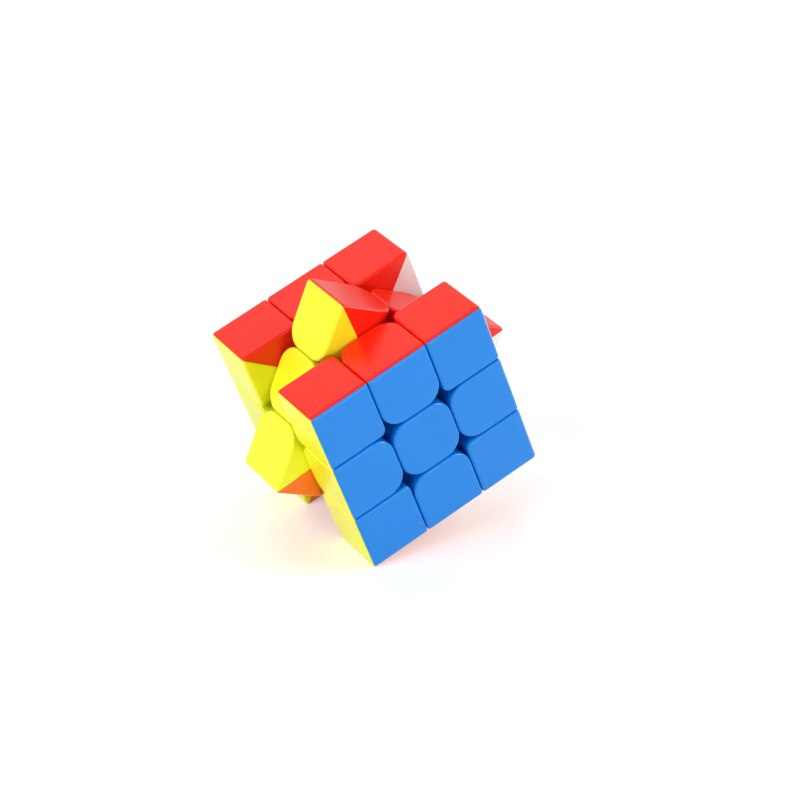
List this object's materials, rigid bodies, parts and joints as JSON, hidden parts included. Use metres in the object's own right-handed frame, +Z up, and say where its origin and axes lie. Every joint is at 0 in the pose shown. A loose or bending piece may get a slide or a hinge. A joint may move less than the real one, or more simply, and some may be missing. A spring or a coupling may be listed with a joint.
{
  "type": "twisty puzzle cube",
  "caption": "Stickerless twisty puzzle cube with coloured edges, corners and centre caps on a sprung six-armed core, its middle slice part turned.",
  "frame": {"origin": "centre of the six-armed core, which is the centre of the cube", "axes": "+Y runs from the blue side to the green side, along the axis the layers turn on; +Z is up, as the cube stands in the picture"},
  "size_m": [0.0716, 0.056, 0.0716],
  "materials": {
    "red": "satin",
    "orange": "satin",
    "blue": "satin",
    "green": "satin",
    "white": "satin",
    "yellow": "satin",
    "dark_plastic": "satin",
    "steel": "satin",
    "spring_steel": "satin"
  },
  "bodies": {
    "middle_slice": {"core": "dark_plastic", "spring_red": "spring_steel", "spring_orange": "spring_steel", "spring_blue": "spring_steel", "spring_green": "spring_steel", "spring_white": "spring_steel", "spring_yellow": "spring_steel", "washer_red": "steel", "washer_orange": "steel", "washer_blue": "steel", "washer_green": "steel", "washer_white": "steel", "washer_yellow": "steel", "screw_red": "steel", "screw_orange": "steel", "screw_blue": "steel", "screw_green": "steel", "screw_white": "steel", "screw_yellow": "steel", "edge_red_white": "red", "edge_red_yellow": "red", "edge_orange_white": "orange", "edge_orange_yellow": "orange"},
    "blue_layer": {"edge_red_blue": "red", "edge_orange_blue": "orange", "edge_blue_white": "blue", "edge_blue_yellow": "blue", "corner_red_blue_white": "red", "corner_red_blue_yellow": "red", "corner_orange_blue_white": "orange", "corner_orange_blue_yellow": "orange", "corner_foot_red_blue_white": "dark_plastic", "corner_foot_red_blue_yellow": "dark_plastic", "corner_foot_orange_blue_white": "dark_plastic", "corner_foot_orange_blue_yellow": "dark_plastic"},
    "green_layer": {"edge_red_green": "red", "edge_orange_green": "orange", "edge_green_white": "green", "edge_green_yellow": "green", "corner_red_green_white": "red", "corner_red_green_yellow": "red", "corner_orange_green_white": "orange", "corner_orange_green_yellow": "orange", "corner_foot_red_green_white": "dark_plastic", "corner_foot_red_green_yellow": "dark_plastic", "corner_foot_orange_green_white": "dark_plastic", "corner_foot_orange_green_yellow": "dark_plastic"},
    "red_centre": {"cap_red": "red", "stem_red": "red"},
    "orange_centre": {"cap_orange": "orange", "stem_orange": "orange"},
    "white_centre": {"cap_white": "white", "stem_white": "white"},
    "yellow_centre": {"cap_yellow": "yellow", "stem_yellow": "yellow"},
    "blue_centre": {"cap_blue": "blue", "stem_blue": "blue"},
    "green_centre": {"cap_green": "green", "stem_green": "green"}
  },
  "joints": [
    {"name": "blue_layer_turn", "type": "hinge", "parent": "middle_slice", "child": "blue_layer", "pos_m": [0, 0, 0], "axis": [0, -1, 0], "continuous": true},
    {"name": "green_layer_turn", "type": "hinge", "parent": "middle_slice", "child": "green_layer", "pos_m": [0, 0, 0], "axis": [0, 1, 0], "continuous": true},
    {"name": "red_centre_lift", "type": "slide", "parent": "middle_slice", "child": "red_centre", "axis": [0.3633, 0, 0.9317], "range_m": [0, 0.0008], "stiffness_N_per_m": 800, "springref_m": -0.0025, "deforming": ["spring_red"]},
    {"name": "orange_centre_lift", "type": "slide", "parent": "middle_slice", "child": "orange_centre", "axis": [-0.3633, 0, -0.9317], "range_m": [0, 0.0008], "stiffness_N_per_m": 800, "springref_m": -0.0025, "deforming": ["spring_orange"]},
    {"name": "white_centre_lift", "type": "slide", "parent": "middle_slice", "child": "white_centre", "axis": [0.9317, 0, -0.3633], "range_m": [0, 0.0008], "stiffness_N_per_m": 800, "springref_m": -0.0025, "deforming": ["spring_white"]},
    {"name": "yellow_centre_lift", "type": "slide", "parent": "middle_slice", "child": "yellow_centre", "axis": [-0.9317, 0, 0.3633], "range_m": [0, 0.0008], "stiffness_N_per_m": 800, "springref_m": -0.0025, "deforming": ["spring_yellow"]},
    {"name": "blue_centre_lift", "type": "slide", "parent": "blue_layer", "child": "blue_centre", "axis": [0, -1, 0], "range_m": [0, 0.0008], "stiffness_N_per_m": 800, "springref_m": -0.0025, "deforming": ["spring_blue"]},
    {"name": "green_centre_lift", "type": "slide", "parent": "green_layer", "child": "green_centre", "axis": [0, 1, 0], "range_m": [0, 0.0008], "stiffness_N_per_m": 800, "springref_m": -0.0025, "deforming": ["spring_green"]}
  ]
}
